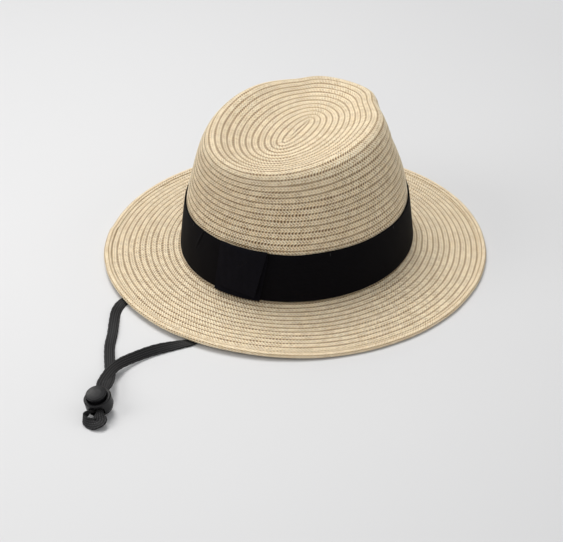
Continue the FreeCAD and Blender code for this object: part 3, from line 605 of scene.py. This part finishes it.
# cord end tabs: folded tape with a bar tack
def tab_piece(name, sx):
    na, nb = 22, 26
    a = np.linspace(0, 2 * np.pi, na, endpoint=False)
    px = np.sign(np.cos(a)) * np.abs(np.cos(a)) ** 0.4 * 1.35
    py = np.sign(np.sin(a)) * np.abs(np.sin(a)) ** 0.4 * 4.4
    z = np.linspace(18.7, 29.5, nb)
    sc = 1 - 0.10 * (np.abs(z - 24.1) / 5.4) ** 6 + 0.05 * np.sin(z * 4.0)
    Q = np.stack([sx * 82.0 + px[None] * sc[:, None], 14.0 + py[None] * (0.97 + 0.03 * sc[:, None]), z[:, None] + 0 * px[None]], -1)
    return add_object(name, grid_mesh(name, Q * MM, close_u=False, close_v=True, cap_ends=True))


tab_l = tab_piece("cord_tab_left", 1)
tab_r = tab_piece("cord_tab_right", -1)


# ------------------------------------------------------------------ materials
def material(name):
    m = bpy.data.materials.new(name)
    m.use_nodes = True
    nt = m.node_tree
    b = nt.nodes["Principled BSDF"]
    return m, nt, b


def noise(nt, scale, detail=3.0, rough=0.55):
    tc = nt.nodes.new("ShaderNodeTexCoord")
    nz = nt.nodes.new("ShaderNodeTexNoise")
    nz.inputs["Scale"].default_value = scale
    nz.inputs["Detail"].default_value = detail
    nz.inputs["Roughness"].default_value = rough
    nt.links.new(tc.outputs["Object"], nz.inputs["Vector"])
    return nz


def bump(nt, height, strength, dist, b):
    bp = nt.nodes.new("ShaderNodeBump")
    bp.inputs["Strength"].default_value = strength
    bp.inputs["Distance"].default_value = dist
    nt.links.new(height, bp.inputs["Height"])
    nt.links.new(bp.outputs["Normal"], b.inputs["Normal"])


def ramp(nt, fac, stops):
    r = nt.nodes.new("ShaderNodeValToRGB")
    els = r.color_ramp.elements
    while len(els) < len(stops):
        els.new(0.5)
    for e, (p, c) in zip(els, stops):
        e.position = p
        e.color = (*c, 1)
    nt.links.new(fac, r.inputs["Fac"])
    return r


def straw_material():
    m, nt, b = material("paper_straw")
    at = nt.nodes.new("ShaderNodeAttribute")
    at.attribute_name = "straw"
    nz = noise(nt, 900.0, 4.0)
    r = ramp(nt, nz.outputs["Fac"], [(0.25, (0.86, 0.845, 0.82)), (0.75, (1.0, 1.0, 1.0))])
    mx = nt.nodes.new("ShaderNodeMix")
    mx.data_type = "RGBA"
    mx.blend_type = "MULTIPLY"
    mx.inputs["Factor"].default_value = 1.0
    nt.links.new(at.outputs["Color"], mx.inputs["A"])
    nt.links.new(r.outputs["Color"], mx.inputs["B"])
    nt.links.new(mx.outputs["Result"], b.inputs["Base Color"])
    b.inputs["Roughness"].default_value = 0.62
    b.inputs["Specular IOR Level"].default_value = 0.35
    b.inputs["Subsurface Weight"].default_value = 0.0
    bump(nt, nz.outputs["Fac"], 0.35, 0.0003, b)
    return m


def ribbon_material(name, base, rib_scale=1500.0, direction="Z", sheen=0.25):
    """Woven ribbon: fine ribs, soft sheen, faint dust."""
    m, nt, b = material(name)
    tc = nt.nodes.new("ShaderNodeTexCoord")
    wv = nt.nodes.new("ShaderNodeTexWave")
    wv.wave_type = "BANDS"
    wv.bands_direction = direction
    wv.inputs["Scale"].default_value = rib_scale / 6.0
    wv.inputs["Distortion"].default_value = 0.4
    nt.links.new(tc.outputs["Object"], wv.inputs["Vector"])
    nz = noise(nt, 260.0, 5.0)
    r = ramp(nt, nz.outputs["Fac"], [(0.3, tuple(c * 0.8 for c in base)), (0.75, tuple(c * 1.35 for c in base))])
    nt.links.new(r.outputs["Color"], b.inputs["Base Color"])
    b.inputs["Roughness"].default_value = 0.80
    b.inputs["Specular IOR Level"].default_value = 0.09
    b.inputs["Sheen Weight"].default_value = sheen
    b.inputs["Sheen Roughness"].default_value = 0.5
    bump(nt, wv.outputs["Fac"], 0.30, 0.00012, b)
    return m


def knit_material():
    m, nt, b = material("knitted_cord")
    nz = noise(nt, 1400.0, 4.0)
    r = ramp(nt, nz.outputs["Fac"], [(0.3, (0.55, 0.55, 0.55)), (0.75, (1.0, 1.0, 1.0))])
    at = nt.nodes.new("ShaderNodeAttribute")
    at.attribute_name = "straw"
    mx = nt.nodes.new("ShaderNodeMix")
    mx.data_type = "RGBA"
    mx.blend_type = "MULTIPLY"
    mx.inputs["Factor"].default_value = 1.0
    nt.links.new(at.outputs["Color"], mx.inputs["A"])
    nt.links.new(r.outputs["Color"], mx.inputs["B"])
    nt.links.new(mx.outputs["Result"], b.inputs["Base Color"])
    b.inputs["Roughness"].default_value = 0.62
    b.inputs["Specular IOR Level"].default_value = 0.25
    b.inputs["Sheen Weight"].default_value = 0.03
    b.inputs["Sheen Roughness"].default_value = 0.45
    bump(nt, nz.outputs["Fac"], 0.5, 0.00025, b)
    return m


def plastic_material(name, base, rough):
    m, nt, b = material(name)
    nz = noise(nt, 420.0, 5.0)
    r = ramp(nt, nz.outputs["Fac"], [(0.35, tuple(c * 0.85 for c in base)), (0.7, tuple(c * 1.2 for c in base))])
    nt.links.new(r.outputs["Color"], b.inputs["Base Color"])
    rr = ramp(nt, nz.outputs["Fac"], [(0.3, (rough - 0.05,) * 3), (0.7, (rough + 0.07,) * 3)])
    nt.links.new(rr.outputs["Color"], b.inputs["Roughness"])
    b.inputs["Specular IOR Level"].default_value = 0.28
    bump(nt, nz.outputs["Fac"], 0.12, 0.0001, b)
    return m


def metal_material():
    m, nt, b = material("spring_metal")
    nz = noise(nt, 900.0, 4.0)
    r = ramp(nt, nz.outputs["Fac"], [(0.3, (0.45, 0.45, 0.46)), (0.7, (0.65, 0.65, 0.66))])
    nt.links.new(r.outputs["Color"], b.inputs["Base Color"])
    b.inputs["Metallic"].default_value = 1.0
    b.inputs["Roughness"].default_value = 0.35
    bump(nt, nz.outputs["Fac"], 0.1, 0.0001, b)
    return m


M_STRAW = straw_material()
M_RIBBON = ribbon_material("black_ribbon", (0.0014, 0.0011, 0.0020), sheen=0.0)
# the keeper fold: the same black ribbon painted lighter and bluer, painted light on the fold so it stands apart from
# the band
M_KEEPER = ribbon_material("black_ribbon_fold_painted_lighter", (0.0024, 0.0021, 0.0042), sheen=0.01)
M_SWEAT = ribbon_material("sweatband_weave", (0.020, 0.019, 0.022), 1100.0)
M_LABEL = ribbon_material("label_weave", (0.70, 0.69, 0.65), 2200.0)
M_THREAD = ribbon_material("black_thread", (0.016, 0.015, 0.017), 3000.0, "DIAGONAL")
M_CORD = knit_material()
M_PLASTIC = plastic_material("satin_black_plastic", (0.0050, 0.0048, 0.0058), 0.42)
M_TAB = ribbon_material("cord_end_tape", (0.012, 0.012, 0.013), 1700.0, "Z", 0.03)
M_METAL = metal_material()


def dress(ob, mat):
    ob.data.materials.clear()
    ob.data.materials.append(mat)


for ob, mat in ((wire, M_METAL), (crown, M_STRAW), (brim, M_STRAW), (edge, M_STRAW), (band, M_RIBBON), (keeper, M_KEEPER), (sweat, M_SWEAT),
                (label, M_LABEL), (cord, M_CORD), (tab_l, M_TAB), (tab_r, M_TAB)):
    dress(ob, mat)

for node, mat in (("hatband_tacks", M_THREAD), ("sweatband_stitching", M_THREAD),
                  ("cord_lock_barrel", M_PLASTIC), ("cord_lock_button", M_PLASTIC), ("cord_lock_spring", M_METAL)):
    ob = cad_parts[node]
    if ob.material_slots:
        for sl in ob.material_slots:
            sl.material = mat
    else:
        ob.data.materials.append(mat)

# ------------------------------------------------------------------ what stands for what
for ob in (wire, crown, brim, edge, band, keeper, sweat, label, cord, tab_l, tab_r):
    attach(ob, "root")
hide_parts("straw_crown", "straw_crown_tip")
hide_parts("brim_wire")
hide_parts("straw_brim")
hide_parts("brim_edge_braid")
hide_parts("hatband_ribbon")
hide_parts("ribbon_keeper")
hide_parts("sweatband")
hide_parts("blank_label")
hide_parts("chin_cord")
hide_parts("cord_tack_left")
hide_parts("cord_tack_right")

# ------------------------------------------------------------------ floor and light
fm, fnt, fb = material("pale_floor")
# the floor's colour is brighter round a point left of the hat and darker towards the corners: a painted pool of light
# and painted shade
light_pool = fnt.nodes.new("ShaderNodeTexGradient")
light_pool.gradient_type = "SPHERICAL"
pmap = fnt.nodes.new("ShaderNodeMapping")
pco = fnt.nodes.new("ShaderNodeTexCoord")
LIGHT_POOL_AT, LIGHT_POOL_R = (0.185, 0.115, 0.0), 0.80
pmap.inputs["Location"].default_value = (-LIGHT_POOL_AT[0] / LIGHT_POOL_R, -LIGHT_POOL_AT[1] / LIGHT_POOL_R, 0.0)
pmap.inputs["Scale"].default_value = (1 / LIGHT_POOL_R, 1 / LIGHT_POOL_R, 1 / LIGHT_POOL_R)
fnt.links.new(pco.outputs["Object"], pmap.inputs["Vector"])
fnt.links.new(pmap.outputs["Vector"], light_pool.inputs["Vector"])
r = ramp(fnt, light_pool.outputs["Fac"], [(0.25, (0.615, 0.619, 0.631)), (0.55, (0.664, 0.668, 0.680)), (0.95, (0.705, 0.709, 0.722))])
fnt.links.new(r.outputs["Color"], fb.inputs["Base Color"])
fb.inputs["Roughness"].default_value = 0.55
fb.inputs["Specular IOR Level"].default_value = 0.2
fme = bpy.data.meshes.new("floor")
S = 6.0
fme.from_pydata([(-S, -S, 0), (S, -S, 0), (S, S, 0), (-S, S, 0)], [], [(0, 1, 2, 3)])
floor = add_object("floor", fme)
floor.data.materials.append(fm)


def area(name, pos, target, size, power, colour=(1, 1, 1)):
    ld = bpy.data.lights.new(name, "AREA")
    ld.shape = "DISK"
    ld.size = size
    ld.energy = power
    ld.color = colour
    ob = bpy.data.objects.new(name, ld)
    bpy.context.scene.collection.objects.link(ob)
    ob.location = pos
    d = Vector(target) - Vector(pos)
    ob.rotation_euler = d.to_track_quat("-Z", "Y").to_euler()
    return ob


# lights are placed by how far right of and how far beyond the hat they stand
away = np.array([-back[0], -back[1], 0.0]); away /= np.linalg.norm(away)
rt = np.array([right[0], right[1], 0.0])


def at(r_, a_, h_):
    p = rt * r_ + away * a_
    return (p[0], p[1] + 0.05, h_)


area("key_top_back", at(-0.45, 1.0, 2.4), (0, 0.05, 0.05), 1.5, 46, (1.0, 0.985, 0.96))
area("fill_right", at(1.8, -0.3, 1.5), (0, 0.05, 0.05), 1.6, 4, (1.0, 1.0, 1.0))
area("fill_front", at(-0.2, -2.0, 1.3), (0, 0.05, 0.05), 2.0, 6, (1.0, 0.98, 0.94))
area("fill_left", at(-1.5, -0.5, 1.1), (0, 0.05, 0.05), 1.2, 9, (1.0, 0.985, 0.96))
world = bpy.data.worlds.new("studio")
bpy.context.scene.world = world
world.use_nodes = True
bg = world.node_tree.nodes["Background"]
bg.inputs["Color"].default_value = (0.98, 0.99, 1.0, 1)
bg.inputs["Strength"].default_value = 0.42
bpy.context.scene.view_settings.view_transform = "Standard"
